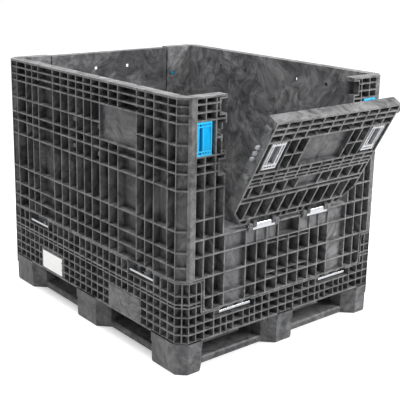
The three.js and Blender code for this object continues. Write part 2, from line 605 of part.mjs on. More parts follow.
const sideGeometry = toGeometry(sideWall());
for (const side of ['left', 'right']) {
  const face = wallGroup(container, side);
  add(face, `side_wall_${side}`, sideGeometry, BODY);
  for (const end of [-1, 1]) {
    const length = HINGE_BAY / 2 + ROD_SOCKET;
    const centre = end * SIDE_HINGE_U;
    add(face, `side_rod_${side}_${END_NAMES[end]}`,
      barGeometry(ROD_R, centre - length, centre + length, SIDE_SEAM - SIDE_DROP, -FOLD_INSET), STEEL);
  }
}

const cardFace = wallGroup(container, 'left');
add(cardFace, 'placard', boxGeometry(-CARD_Y - CARD_WIDTH / 2, -CARD_Y + CARD_WIDTH / 2,
  CARD_Z - CARD_HEIGHT / 2, CARD_Z + CARD_HEIGHT / 2, -CARD_THICK - 1, -1), CARD);

const doorGeometry = toGeometry(dropDoor());
const ENDS = { front: { seam: FRONT_SEAM, tilt: DOOR_TILT }, rear: { seam: REAR_SEAM, tilt: 0 } };
for (const [side, { seam, tilt }] of Object.entries(ENDS)) {
  const face = wallGroup(container, side);
  add(face, `${side}_wall`, toGeometry(endWall(seam)), BODY_LIGHT);
  // The door turns about its hinge axis, just outside the face at sill height
  const hinge = new THREE.Group();
  hinge.position.set(0, SILL, DOOR_AXIS_OUT);
  hinge.rotation.x = THREE.MathUtils.degToRad(tilt);
  const shut = new THREE.Group();
  shut.position.set(0, -SILL, -DOOR_AXIS_OUT);
  hinge.add(shut);
  face.add(hinge);
  add(shut, `${side}_door`, doorGeometry, BODY_LIGHT);
  for (const end of [-1, 1]) {
    const name = END_NAMES[end];
    const reach = HINGE_BAY / 2 + ROD_SOCKET;
    add(face, `${side}_wall_rod_${name}`, barGeometry(ROD_R, end * END_HINGE_U - reach,
      end * END_HINGE_U + reach, seam - FOLD_DROP, -FOLD_INSET), STEEL);
    add(face, `${side}_door_rod_${name}`, barGeometry(DOOR_ROD_R, end * DOOR_HINGE_U - HINGE_BAY / 2,
      end * DOOR_HINGE_U + HINGE_BAY / 2, SILL, DOOR_AXIS_OUT, ROUND_SIDES), STEEL);
    add(face, `${side}_wall_latch_${name}`, toGeometry(wallLatch(end)), BLUE);
    add(shut, `${side}_door_latch_${name}`, toGeometry(doorLatch(end)), GREY);
  }
}

export default container;
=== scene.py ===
# %% [markdown]
# # A collapsible bulk container
# A folding pallet box is moulded in coarse grey plastic: a base on nine feet,
# two side walls, two end walls with a drop door, blue and grey sliding latches
# and steel hinge rods. Nearly all that the eye sees is ribs, so the lesson is
# about one idea: a wall whose outer face is a height field over a grid whose
# lines fall exactly on the ribs' edges. That keeps every rib crisp with very few
# faces, which a displaced or sculpted plane would not.

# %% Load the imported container
import bpy
import bmesh
import numpy as np
from mathutils import Matrix


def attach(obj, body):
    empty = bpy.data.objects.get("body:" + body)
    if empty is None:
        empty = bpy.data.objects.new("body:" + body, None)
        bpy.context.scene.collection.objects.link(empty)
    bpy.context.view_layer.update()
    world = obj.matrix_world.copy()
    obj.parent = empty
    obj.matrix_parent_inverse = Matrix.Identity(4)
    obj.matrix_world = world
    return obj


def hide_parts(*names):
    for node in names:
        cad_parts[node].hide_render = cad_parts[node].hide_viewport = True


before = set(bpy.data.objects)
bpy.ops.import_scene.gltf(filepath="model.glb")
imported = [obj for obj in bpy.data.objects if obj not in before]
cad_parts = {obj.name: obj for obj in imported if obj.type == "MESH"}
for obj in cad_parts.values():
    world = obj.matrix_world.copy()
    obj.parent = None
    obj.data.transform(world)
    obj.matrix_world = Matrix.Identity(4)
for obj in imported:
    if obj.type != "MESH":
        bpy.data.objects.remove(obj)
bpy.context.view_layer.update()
HALF_X, HALF_Y, HEIGHT = 508.0, 609.5, 991.0  # the container's half footprint and its height, in mm
SIDE_HINGE, END_HINGE, DOOR_HINGE = 367, 256, 138  # each hinge, from the middle of its wall
BAY, DOOR_AXIS = 75, 505  # half the width of a hinge notch, and the height of the doors' hinges
ENDS = (("front", 0, 222.0), ("rear", 2, 270.0))  # name, quarter turns, seam over the base
SIDES = (("right", 1), ("left", 3))

# %% [markdown]
# ## Camera
# The photo looks down on the front left corner from about 40 degrees to the
# side and 14 degrees up, through a long lens. The camera is turned by its own
# three axes: where it looks, its right and its up. A small vertical shift sets
# the view's centre as the photo has it.

# %% Camera
YAW, PITCH, ROLL = np.radians([-39.61, 14.02, 1.09])
FOCAL, PICTURE, SENSOR = 867.0, 400.0, 36.0  # focal length and picture width in pixels, sensor in mm
look = np.array([-np.sin(YAW) * np.cos(PITCH), np.cos(YAW) * np.cos(PITCH), -np.sin(PITCH)])
level = np.array([np.cos(YAW), np.sin(YAW), 0.0])
upright = np.cross(level, look)
right = np.cos(ROLL) * level + np.sin(ROLL) * upright
top = np.cos(ROLL) * upright - np.sin(ROLL) * level
lens = bpy.data.cameras.new("camera")
lens.sensor_width = SENSOR
lens.lens = FOCAL * SENSOR / PICTURE
lens.shift_y = -0.10
lens.clip_end = 50.0
camera = bpy.data.objects.new("camera", lens)
turn = np.eye(4)
turn[:3, :3] = np.stack([right, top, -look], axis=1)
turn[:3, 3] = [-2.2178, -2.7627, 1.4771]
camera.matrix_world = Matrix(turn.tolist())
bpy.context.scene.collection.objects.link(camera)
bpy.context.scene.camera = camera
print("lens of", round(lens.lens, 1), "mm")

# %% [markdown]
# ## Meshes from arrays
# Every new piece is a set of shells: an array of points and arrays of faces that
# count into it. One helper glues shells into one, and one puts the result into a
# Blender mesh in a single call. Each point also carries a number called relief:
# 1 on the outermost plastic, 0 at the bottom of a pocket, and more than 1 on a
# wall's inner face. The plastic's material reads it to paint a pale highlight on the
# rib edges, paint shade into the pockets and show the inner face's swirls.


# %% Shells and how they become an object
def shell(points, faces, relief=None):
    """A shell is (points, list of face arrays, relief per point)."""
    relief = np.ones(len(points)) if relief is None else relief
    return np.asarray(points, float), [np.asarray(f, int) for f in faces], relief


def glued(*shells):
    """All the shells as one: each one's face numbers move up by the points before it."""
    starts = np.cumsum([0] + [len(points) for points, _, _ in shells])
    faces = [f + start for (_, group, _), start in zip(shells, starts) for f in group]
    return np.concatenate([s[0] for s in shells]), faces, np.concatenate([s[2] for s in shells])


def trimmed(points, faces, relief):
    """The shell without the points that no face uses."""
    used, renumbered = np.unique(np.concatenate([f.ravel() for f in faces]), return_inverse=True)
    ends = np.cumsum([f.size for f in faces])[:-1]
    faces = [part.reshape(f.shape) for part, f in zip(np.split(renumbered.ravel(), ends), faces)]
    return points[used], faces, relief[used]


def put_mesh(name, part, body, material, smooth_below=35.0):
    """A shell in millimetres becomes a mesh object in metres that rides on a body."""
    points, faces, relief = trimmed(*part)
    mesh = bpy.data.meshes.new(name)
    loops = np.concatenate([f.ravel() for f in faces])
    sides = np.concatenate([np.full(len(f), f.shape[1]) for f in faces])
    mesh.vertices.add(len(points))
    mesh.vertices.foreach_set("co", (points * 0.001).ravel())
    mesh.loops.add(len(loops))
    mesh.loops.foreach_set("vertex_index", loops)
    mesh.polygons.add(len(sides))
    mesh.polygons.foreach_set("loop_start", np.cumsum(sides) - sides)
    mesh.polygons.foreach_set("use_smooth", np.ones(len(sides), bool))
    mesh.attributes.new("relief", "FLOAT", "POINT").data.foreach_set("value", relief)
    mesh.update(calc_edges=True)
    mesh.validate()
    mesh.set_sharp_from_angle(angle=np.radians(smooth_below))
    piece = bpy.data.objects.new(name, mesh)
    bpy.context.scene.collection.objects.link(piece)
    mesh.materials.append(material)
    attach(piece, body)
    print(name, len(points), "points,", int((sides - 2).sum()), "triangles")
    return piece


# %% [markdown]
# ## Ribs as a height field
# A moulded wall is a thin skin with ribs standing out of it. Each rib is a
# rectangle on the wall with a height; its flanks lean a little (the draft that
# lets the wall leave its mould) and its top edges have a small bevel that
# catches the light. The surface is the highest of all the ribs at each point.

# %% Rib profiles and the relief they make
DRAFT, BEVEL = 1.2, 0.8
MERGED = 0.15  # grid lines closer than this become one
INNER = 1.2  # relief of the smooth inner face, which is paler than the ribs
FLOOR = -39.0  # pocket floors lie 39 mm under the ribs' tops


def grid_lines(lo, hi, *pairs):
    """Grid lines where ribs start, end and bend, inside lo..hi, in rising order."""
    pairs = np.concatenate([np.reshape(p, (-1, 2)) for p in pairs])
    low, high = pairs[:, 0], pairs[:, 1]
    lines = np.concatenate([low - DRAFT, low, low + BEVEL, high - BEVEL, high, high + DRAFT, [lo, hi]])
    lines = np.unique(np.round(np.clip(lines, lo, hi), 2))
    return lines[np.concatenate([[True], np.diff(lines) > MERGED])]


def profile(x, lo, hi, height, floor):
    """Across one rib: floor, up a leaning flank, over the bevel, flat top, and down again."""
    places = [lo - DRAFT, lo, lo + BEVEL, hi - BEVEL, hi, hi + DRAFT]
    return np.interp(x, places, [floor, height - BEVEL, height, height, height - BEVEL, floor])


def relief_of(s, v, ribs, floor=FLOOR):
    """Height over the grid (s, v): the highest rib, each the lower of its two profiles."""
    height = np.full((len(s), len(v)), float(floor))
    for s0, s1, v0, v1, rise in ribs:
        across = profile(s, s0, s1, rise, floor)[:, None]
        height = np.maximum(height, np.minimum(across, profile(v, v0, v1, rise, floor)[None, :]))
    return height


def standing(centres, v0, v1, rise=0.0, thick=5.5):
    """Upright ribs at the given places, from v0 to v1."""
    centres = np.atleast_1d(centres).astype(float)
    return np.stack([centres - thick / 2, centres + thick / 2, np.full_like(centres, v0),
                     np.full_like(centres, v1), np.full_like(centres, rise)], axis=1)


def lying(heights, s0, s1, rise=0.0, thick=5.5):
    """Level ribs at the given heights, from s0 to s1."""
    heights = np.atleast_1d(heights).astype(float)
    return np.stack([np.full_like(heights, s0), np.full_like(heights, s1), heights - thick / 2,
                     heights + thick / 2, np.full_like(heights, rise)], axis=1)


def both(ribs):
    """The ribs and their mirror images about s = 0, with their ends in rising order."""
    ribs = np.array(ribs, float)
    ribs = np.concatenate([ribs, ribs * [-1, -1, 1, 1, 1]])
    ribs[:, :2] = np.sort(ribs[:, :2], axis=1)
    return ribs


# %% [markdown]
# ## From a height field to a wall
# The grid is wrapped round a path seen from above. The path gives three things
# at each distance s: the outer point, the direction outwards, and the point on
# the inner face behind it. Cells can be left out, for a door opening or a hinge
# notch, and every edge between a kept and an empty cell gets a face across the
# wall's thickness. So the wall is one closed skin, as the moulding is.


# %% Paths and moulded walls
def path_round(corners, thick, closed=False):
    """Knots (s, outer x y, normal x y, inner x y) along a polyline.

    At a corner the normal is the mitre (n0 + n1) / (1 + n0 . n1) of its two sides, and
    half a millimetre to either side it is back to the side's own normal.
    """
    corners = np.array(corners, float)
    steps = np.diff(corners, axis=0)
    lengths = np.linalg.norm(steps, axis=1)
    normals = np.stack([steps[:, 1], -steps[:, 0]], axis=1) / lengths[:, None]
    s = np.concatenate([[0], np.cumsum(lengths)])
    before = np.concatenate([normals[:1], normals])
    after = np.concatenate([normals, normals[-1:]])
    mitre = (before + after) / (1 + (before * after).sum(1))[:, None]
    near = 0.5
    places = np.concatenate([s[1:] - near, s, s[:-1] + near])
    outward = np.concatenate([before[1:], mitre, after[:-1]])
    order = np.argsort(places, kind="stable")
    places, outward = places[order], outward[order]
    outer = np.stack([np.interp(places, s, corners[:, k]) for k in (0, 1)], axis=1)
    return np.column_stack([places, outer, outward, outer - outward * thick])


def moulded(knots, s, v, height, keep, loop=False, floor=FLOOR):
    """Outer point = path point + normal * height, inner point = the path's inner point.

    Faces: the outer grid, the inner grid turned round, and one face across the wall on
    each edge where a kept cell meets an empty one.
    """
    at = np.stack([np.interp(s, knots[:, 0], knots[:, k]) for k in range(1, 7)], axis=1)
    rows, columns = len(s), len(v)
    plan = at[:, None, 0:2] + at[:, None, 2:4] * height[:, :, None]
    outer = np.concatenate([plan, np.broadcast_to(v[None, :, None], (rows, columns, 1))], axis=2)
    inner = outer.copy()
    inner[:, :, :2] = at[:, None, 4:6]
    row = np.arange(rows)
    if loop:
        row[-1] = 0
    front = row[:, None] * columns + np.arange(columns)
    back = front + rows * columns
    edge = np.pad(keep, 1)
    if loop:
        edge[0, 1:-1], edge[-1, 1:-1] = keep[-1], keep[0]

    def quads(cells, *corners):
        i, j = np.nonzero(cells)
        return np.stack([(front if f else back)[i + a, j + b] for f, a, b in corners], axis=1)

    faces = [
        quads(keep, (1, 0, 0), (1, 1, 0), (1, 1, 1), (1, 0, 1)),
        quads(keep, (0, 0, 0), (0, 0, 1), (0, 1, 1), (0, 1, 0)),
        quads(keep & ~edge[:-2, 1:-1], (1, 0, 0), (1, 0, 1), (0, 0, 1), (0, 0, 0)),
        quads(keep & ~edge[2:, 1:-1], (1, 1, 1), (1, 1, 0), (0, 1, 0), (0, 1, 1)),
        quads(keep & ~edge[1:-1, :-2], (1, 1, 0), (1, 0, 0), (0, 0, 0), (0, 1, 0)),
        quads(keep & ~edge[1:-1, 2:], (1, 0, 1), (1, 1, 1), (0, 1, 1), (0, 0, 1)),
    ]
    relief = np.concatenate([np.clip(1 - height.ravel() / floor, 0, 1), np.full(rows * columns, INNER)])
    return shell(np.concatenate([outer.reshape(-1, 3), inner.reshape(-1, 3)]), faces, relief)


def kept_cells(s, v, holes):
    """Cells whose middle lies in none of the holes (s0, s1, v0, v1, ...)."""
    middle_s, middle_v = (s[:-1] + s[1:])[:, None] / 2, (v[:-1] + v[1:])[None, :] / 2
    keep = np.ones((len(s) - 1, len(v) - 1), bool)
    for s0, s1, v0, v1, *_ in holes:
        keep &= ~((middle_s > s0) & (middle_s < s1) & (middle_v > v0) & (middle_v < v1))
    return keep


def turned(part, quarters):
    """A shell turned about the vertical axis by quarter turns: 0 front, 1 right, 2 rear, 3 left."""
    points, faces, relief = part
    c, s = [(1, 0), (0, 1), (-1, 0), (0, -1)][quarters]
    return points @ np.array([[c, s, 0], [-s, c, 0], [0, 0, 1]]), faces, relief


def flipped(part):
    """The shell with its faces turned round."""
    points, faces, relief = part
    return points, [f[:, ::-1] for f in faces], relief


def mirrored_x(part):
    """The mirror image about x = 0, with its faces turned back outwards."""
    points, faces, relief = flipped(part)
    return points * [-1, 1, 1], faces, relief


# %% [markdown]
# ## Solid pieces
# Feet, skids, latch plates and bolts are lofts: an outline drawn flat, repeated
# at several heights with its corners pushed in or out, and closed at both ends.
# A rod is the same idea with a circle. A loft is lighter than a bevelled cube
# and puts each bevel just where the real piece has one. The rolled seams at the
# base's ears and at the end walls' feet are lips, bands along a bent path.


# %% Lofts, rods and lips
def loft(outline, levels, axis=2):
    """Closed solid from an outline (counter-clockwise) at rows of (height, inset).

    A corner moves inwards by inset times its mitre (n0 + n1) / (1 + n0 . n1). Axis 2 stacks
    the outlines along z; axis 1 lays them in x and z and stacks along -y.
    """
    outline, levels = np.array(outline, float), np.array(levels, float)
    steps = np.roll(outline, -1, axis=0) - outline
    normals = np.stack([steps[:, 1], -steps[:, 0]], axis=1) / np.linalg.norm(steps, axis=1)[:, None]
    before = np.roll(normals, 1, axis=0)
    mitre = (before + normals) / (1 + (before * normals).sum(1))[:, None]
    flat = outline[None] - mitre[None] * levels[:, 1, None, None]
    heights = np.broadcast_to(levels[:, 0, None, None], (len(levels), len(outline), 1))
    points = np.concatenate([flat, heights], axis=2).reshape(-1, 3)
    if axis == 1:
        points = points[:, [0, 2, 1]] * [1, -1, 1]
    count = len(outline)
    ring = np.arange(count)
    level, corner = np.meshgrid(np.arange(len(levels) - 1), ring, indexing="ij")
    nxt = (corner + 1) % count
    sides = np.stack([level * count + corner, level * count + nxt, (level + 1) * count + nxt,
                      (level + 1) * count + corner], axis=-1).reshape(-1, 4)
    ends = np.stack([ring[::-1], ring + (len(levels) - 1) * count])
    return shell(points, [sides, ends], np.full(len(points), 0.9))


def block(x0, x1, y0, y1, z0, z1, bevel=1.0):
    """A bar with bevelled edges."""
    return loft([(x0, y0), (x1, y0), (x1, y1), (x0, y1)],
                [(z0, bevel), (z0 + bevel, 0), (z1 - bevel, 0), (z1, bevel)])


def rod(x0, x1, y, z, radius, bevel=1.0, sides=28):
    """A round rod along x: circles of the given radius, smaller by the bevel at both ends."""
    angle = np.arange(sides) * 2 * np.pi / sides
    circle = np.stack([np.cos(angle), np.sin(angle)], axis=1) * radius
    points, faces, relief = loft(circle, [(x0, bevel), (x0 + bevel, 0), (x1 - bevel, 0), (x1, bevel)])
    return points[:, [2, 0, 1]] + [0, y, z], faces, relief


def lip(path, width, out0, out1):
    """A raised seam on a face: a band along (x, z) points, from out0 to out1 outside the front face.

    At each point the band's two edges lie half its width to either side along the path's normal.
    """
    path = np.array(path, float)
    along = np.gradient(path, axis=0)
    along /= np.linalg.norm(along, axis=1)[:, None]
    normal = np.stack([-along[:, 1], along[:, 0]], axis=1) * width / 2
    outline = np.concatenate([path + normal, (path - normal)[::-1]])
    count, last = len(outline), len(outline) - 1
    flat = np.column_stack([outline[:, 0], np.zeros(count), outline[:, 1]])
    points = np.concatenate([flat + [0, -HALF_Y - out0, 0], flat + [0, -HALF_Y - out1, 0]])
    k = np.arange(len(path) - 1)
    ring = np.arange(count)
    behind = np.stack([k, k + 1, last - k - 1, last - k], axis=1)
    rim = np.stack([ring, (ring + 1) % count, (ring + 1) % count + count, ring + count], axis=1)
    return shell(points, [behind, behind[:, ::-1] + count, rim[:, ::-1]], np.full(2 * count, 0.97))


def bend(x, z, radius, start, stop):
    """Points on an arc about (x, z), angles in degrees."""
    angle = np.radians(np.linspace(start, stop, 9))
    return list(zip(x + radius * np.cos(angle), z + radius * np.sin(angle)))


# %% [markdown]
# ## Finishes
# The plastic is regrind: coarse grey, with paler swirls where it flowed into the
# mould, dust on what faces up, a painted highlight on every rib top and painted shade
# in the pockets. Each of these is a node group, so that all the plastic pieces share one recipe with their
# own numbers.

# %% Node groups
def new_group(name, inputs, outputs):
    """A shader node group with named sockets; returns the tree, its input and its output node."""
    tree = bpy.data.node_groups.new(name, "ShaderNodeTree")
    for label, kind, value in inputs:
        socket = tree.interface.new_socket(name=label, in_out="INPUT", socket_type=kind)
        if value is not None:
            socket.default_value = value
    for label, kind in outputs:
        tree.interface.new_socket(name=label, in_out="OUTPUT", socket_type=kind)
    return tree, tree.nodes.new("NodeGroupInput"), tree.nodes.new("NodeGroupOutput")


def node(tree, kind, inputs=None, **settings):
    """Adds a node and sets its properties; an input is a plain value or another node's socket."""
    made = tree.nodes.new(kind)
    for key, value in settings.items():
        setattr(made, key, value)
    for key, value in (inputs or {}).items():
        if isinstance(value, bpy.types.NodeSocket):
            tree.links.new(value, made.inputs[key])
        else:
            made.inputs[key].default_value = value
    return made


def mixed(tree, factor, first, second, blend="MIX"):
    """Colour mix of first and second by factor."""
    return node(tree, "ShaderNodeMix", {0: factor, 6: first, 7: second},
                data_type="RGBA", blend_type=blend).outputs[2]


def ranged(tree, value, lo, hi, to_lo=0.0, to_hi=1.0):
    """Maps lo..hi to to_lo..to_hi, clamped."""
    return node(tree, "ShaderNodeMapRange", {"Value": value, "From Min": lo, "From Max": hi,
                                             "To Min": to_lo, "To Max": to_hi}).outputs["Result"]


def maths(tree, operation, first, second):
    """One operation on two numbers."""
    return node(tree, "ShaderNodeMath", {0: first, 1: second}, operation=operation).outputs[0]


def noise(tree, place, scale, detail, **more):
    """A noise texture's outputs; more are its inputs by name."""
    return node(tree, "ShaderNodeTexNoise",
                {"Vector": place, "Scale": scale, "Detail": detail, **more}).outputs


def flow_swirls():
    """Pale flow marks and grime: noises read through coordinates that another noise has bent."""
    tree, start, end = new_group(
        "flow swirls", [("Vector", "NodeSocketVector", None), ("Scale", "NodeSocketFloat", 5.0)],
        [("Mask", "NodeSocketFloat"), ("Height", "NodeSocketFloat")])
    place = start.outputs["Vector"]
    warp = noise(tree, place, 3.2, 2.0)["Color"]
    push = node(tree, "ShaderNodeVectorMath", {0: warp, 1: (0.35, 0.35, 0.35)}, operation="MULTIPLY")
    moved = node(tree, "ShaderNodeVectorMath", {0: place, 1: push.outputs[0]}, operation="ADD").outputs[0]
    flow = noise(tree, moved, start.outputs["Scale"], 6.0, Roughness=0.62, Distortion=1.4)["Fac"]
    fine = noise(tree, moved, 30.0, 6.0, Roughness=0.65, Distortion=0.6)["Fac"]
    tree.links.new(ranged(tree, flow, 0.42, 0.66), end.inputs["Mask"])
    tree.links.new(fine, end.inputs["Height"])
    return tree


def rib_highlight_and_pocket_shade():
    """Masks of a painted highlight on the rib tops, broken up by noise, and of painted shade in deep pockets.
    """
    tree, start, end = new_group(
        "painted rib highlight and pocket shade", [("Vector", "NodeSocketVector", None), ("Relief", "NodeSocketFloat", 1.0)],
        [("Top", "NodeSocketFloat"), ("Painted shade", "NodeSocketFloat")])
    relief = start.outputs["Relief"]
    # noise breaks the painted highlight on the rib tops into patches
    highlight_breakup = ranged(tree, noise(tree, start.outputs["Vector"], 22.0, 4.0)["Fac"], 0.3, 0.7, 0.55, 1.0)
    tree.links.new(maths(tree, "MULTIPLY", ranged(tree, relief, 0.93, 0.995), highlight_breakup), end.inputs["Top"])
    tree.links.new(ranged(tree, relief, 0.0, 0.5, 1.0, 0.0), end.inputs["Painted shade"])
    return tree


def settled_dust():
    """Mask of dust: faces that look up, in patches."""
    tree, start, end = new_group(
        "settled dust", [("Vector", "NodeSocketVector", None), ("Amount", "NodeSocketFloat", 0.3)],
        [("Mask", "NodeSocketFloat")])
    normal = tree.nodes.new("ShaderNodeNewGeometry").outputs["Normal"]
    up = ranged(tree, node(tree, "ShaderNodeSeparateXYZ", {0: normal}).outputs["Z"], 0.3, 0.95)
    patch = noise(tree, start.outputs["Vector"], 9.0, 5.0)["Fac"]
    settled = maths(tree, "MULTIPLY", up, ranged(tree, patch, 0.3, 0.75, 0.35, 1.0))
    tree.links.new(maths(tree, "MULTIPLY", settled, start.outputs["Amount"]), end.inputs["Mask"])
    return tree


SWIRLS, RIB_LIGHT_AND_SHADE, DUST = flow_swirls(), rib_highlight_and_pocket_shade(), settled_dust()


def grouped(tree, group, inputs):
    """Places a node group in a material and returns its outputs."""
    return node(tree, "ShaderNodeGroup", inputs, node_tree=group).outputs


def new_material(name):
    """A material, its node tree and its shader."""
    material = bpy.data.materials.new(name)
    material.use_nodes = True
    return material, material.node_tree, material.node_tree.nodes["Principled BSDF"]


def srgb(r, g, b):
    """A colour as seen on screen (0 to 255), in the linear values that Blender mixes."""
    c = np.array([r, g, b]) / 255.0
    return (*np.where(c <= 0.04045, c / 12.92, ((c + 0.055) / 1.055) ** 2.4), 1.0)


def moulded_plastic(name, base, pale, highlight_colour, roughness=0.5, swirl=5.0, dust=0.3, mottle=0.6):
    """Plastic with flow swirls, a painted highlight on the rib tops, painted shade in the pockets, grime,
    dust and a fine grain.
    """
    material, tree, shader = new_material(name)
    place = tree.nodes.new("ShaderNodeTexCoord").outputs["Object"]
    relief = node(tree, "ShaderNodeAttribute", attribute_name="relief").outputs["Fac"]
    flow = grouped(tree, SWIRLS, {"Vector": place, "Scale": swirl})
    ribs = grouped(tree, RIB_LIGHT_AND_SHADE, {"Vector": place, "Relief": relief})
    film = grouped(tree, DUST, {"Vector": place, "Amount": dust})
    colour = mixed(tree, flow["Mask"], srgb(*base), srgb(*pale))
    # painted shade: the pockets darken towards 0.4 of the base colour; painted highlight: the rib tops take
    # the highlight colour
    pocket_shade = maths(tree, "MULTIPLY", ribs["Painted shade"], 0.6)
    colour = mixed(tree, pocket_shade, colour, srgb(*[c * 0.4 for c in base]))
    colour = mixed(tree, ribs["Top"], colour, srgb(*highlight_colour))
    inner = mixed(tree, flow["Mask"], srgb(*[c * 1.14 for c in base]), srgb(*[c * 1.2 for c in pale]))
    colour = mixed(tree, ranged(tree, relief, 1.02, INNER), colour, inner)
    colour = mixed(tree, film["Mask"], colour, srgb(150, 150, 150))
    grime = ranged(tree, flow["Height"], 0.34, 0.62, 1.0 - mottle, 1.0 + mottle * 0.45)
    colour = mixed(tree, 1.0, colour, grime, "MULTIPLY")
    tree.links.new(colour, shader.inputs["Base Color"])
    shader.inputs["Specular IOR Level"].default_value = 0.28
    rough = ranged(tree, flow["Mask"], 0.0, 1.0, roughness - 0.06, roughness + 0.1)
    tree.links.new(rough, shader.inputs["Roughness"])
    grain = noise(tree, place, 420.0, 2.0)["Fac"]
    waves = node(tree, "ShaderNodeBump", {"Height": flow["Height"], "Strength": 0.16, "Distance": 0.003})
    bumps = node(tree, "ShaderNodeBump", {"Height": grain, "Normal": waves.outputs[0],
                                          "Strength": 0.12, "Distance": 0.0006})
    tree.links.new(bumps.outputs[0], shader.inputs["Normal"])
    return material


CHARCOAL = moulded_plastic("charcoal regrind plastic", (74, 74, 76), (110, 110, 111), (109, 109, 109))
# painted light: the end walls get a lighter copy of the side walls' plastic, as if lit more
END_GREY_PAINTED_LIGHTER = moulded_plastic("end wall plastic painted lighter", (92, 92, 94), (122, 122, 123), (117, 117, 117),
                           dust=0.15)
# painted shade: the door gets a darker copy of the same plastic, standing in for its deeper pocket shadows
DOOR_GREY_PAINTED_DARKER = moulded_plastic("door plastic painted darker", (66, 66, 68), (98, 98, 99), (112, 112, 112), dust=0.1)
BLUE = moulded_plastic("blue latch plastic", (0, 160, 222), (14, 176, 232), (60, 195, 240),
                       roughness=0.38, swirl=9.0, dust=0.1, mottle=0.1)
PALE = moulded_plastic("pale grey latch plastic", (146, 148, 152), (176, 178, 181), (200, 201, 203),
                       roughness=0.42, swirl=9.0, dust=0.1, mottle=0.3)


def bright_steel(name):
    """Zinc plated rod: drawn streaks in colour, roughness and bump along its length."""
    material, tree, shader = new_material(name)
    place = tree.nodes.new("ShaderNodeTexCoord").outputs["Object"]
    drawn = node(tree, "ShaderNodeMapping", {"Vector": place, "Scale": (12.0, 12.0, 420.0)})
    streak = noise(tree, drawn.outputs[0], 3.0, 4.0)["Fac"]
    shade = mixed(tree, streak, srgb(138, 140, 144), srgb(190, 191, 194))
    tree.links.new(shade, shader.inputs["Base Color"])
    tree.links.new(ranged(tree, streak, 0.3, 0.7, 0.22, 0.4), shader.inputs["Roughness"])
    shader.inputs["Metallic"].default_value = 1.0
    bumps = node(tree, "ShaderNodeBump", {"Height": streak, "Strength": 0.1, "Distance": 0.0004})
    tree.links.new(bumps.outputs[0], shader.inputs["Normal"])
    return material


def bare_card(name):
    """White card behind clear film: faint paper mottle, a little gloss."""
    material, tree, shader = new_material(name)
    place = tree.nodes.new("ShaderNodeTexCoord").outputs["Object"]
    mottle = noise(tree, place, 60.0, 5.0)["Fac"]
    shade = mixed(tree, mottle, srgb(232, 232, 230), srgb(248, 248, 247))
    tree.links.new(shade, shader.inputs["Base Color"])
    tree.links.new(ranged(tree, mottle, 0.3, 0.7, 0.35, 0.5), shader.inputs["Roughness"])
    shader.inputs["Coat Weight"].default_value = 0.3
    return material


STEEL, CARD = bright_steel("bright steel"), bare_card("white card")

# %% [markdown]
# ## Side walls
# Each long wall is one moulding with a rounded column at both ends that wraps on
# to the end face, so its path runs round both corners. The real one has rows of
# small pockets along the top, tall ones in the middle and one smooth plate. Four
# small holes near the top go right through.

# %% Side walls
WALL, SIDE_SEAM, CHAMFER, WRAP = 45.0, 348.3, 36.0, 52.0
ROWS = np.array([401, 454, 530, 674, 733, 768, 903, 931, 960.0])


def side_plan():
    """The wall drawn as if at the front: along the outer face, over the chamfers, on to the end faces."""
    y, end = -HALF_X, HALF_Y
    knots = path_round([(-end, y + WRAP), (-end, y + CHAMFER), (-end + CHAMFER, y), (end - CHAMFER, y),
                        (end, y + CHAMFER), (end, y + WRAP)], WALL)
    knots[:, 0] -= knots[-1, 0] / 2
    # the inner face stays flat, and closes on to the column's back at both ends
    knots[:, 5] = np.clip(knots[:, 1], -end + WALL, end - WALL)
    knots[:, 6] = y + np.interp(np.abs(knots[:, 0]), [end - CHAMFER, knots[-1, 0]], [WALL, WRAP])
    return knots


def side_wall():
    knots = side_plan()
    reach = knots[-1, 0]
    face = HALF_Y - CHAMFER
    chamfer_end = face + CHAMFER * np.sqrt(2)
    kept = [54, 110, 345, 396, 447, 525, 571]
    plate_ribs = [169, 229]
    ribs = np.concatenate([
        standing([0, *kept, *[-k for k in [*kept, *plate_ribs]]], SIDE_SEAM, HEIGHT),
        standing(plate_ribs, SIDE_SEAM, 770), standing(plate_ribs, 901, HEIGHT),
        lying(ROWS, -chamfer_end - 3, chamfer_end + 3),
        lying(830, -chamfer_end - 3, 112), lying(830, 343, chamfer_end + 3),
        [(-reach - 9, reach + 9, 983, HEIGHT, 0), (-reach - 9, reach + 9, SIDE_SEAM, 355, 0)],
        [(108, 347, 766, 905, -13)],
        [(229, 345, SIDE_SEAM, 760, -30), (-345, -229, SIDE_SEAM, HEIGHT, -30)],
        [(447, 525, SIDE_SEAM, HEIGHT, -27)],
        both([(face + 2, chamfer_end - 9, SIDE_SEAM, HEIGHT, -14)]),
        both([(chamfer_end - 12, reach + 9, SIDE_SEAM, HEIGHT, 0)]),
        [(k - 8, k + 8, z - 8, z + 8, -12) for k in (-88, 88) for z in (705, 811)],
    ])
    holes = both([(334, 348, 910, 925, 0), (157, 171, 910, 925, 0)])
    s = grid_lines(-reach, reach, ribs[:, :2], holes[:, :2], [(-chamfer_end, -face), (face, chamfer_end)])
    v = grid_lines(SIDE_SEAM, HEIGHT, ribs[:, 2:4], holes[:, 2:4])
    return moulded(knots, s, v, relief_of(s, v, ribs), kept_cells(s, v, holes))


def hinge_lugs(centre, seam, drop, out):
    """Two lugs under a wall, with rounded eyes on the rod."""
    angle = np.radians(np.linspace(-180, 0, 13))
    eye = np.stack([12 * np.cos(angle), 12 * np.sin(angle) - drop], axis=1)
    eye = np.concatenate([eye, [(12, 6), (-12, 6)]])
    parts = []
    for x in (centre - 30, centre + 30):
        points, faces, relief = loft(eye, [(x - 8, 1), (x - 7, 0), (x + 7, 0), (x + 8, 1)])
        parts.append((points[:, [2, 0, 1]] + [0, -out + 32, seam], faces, relief))
    return glued(*parts)


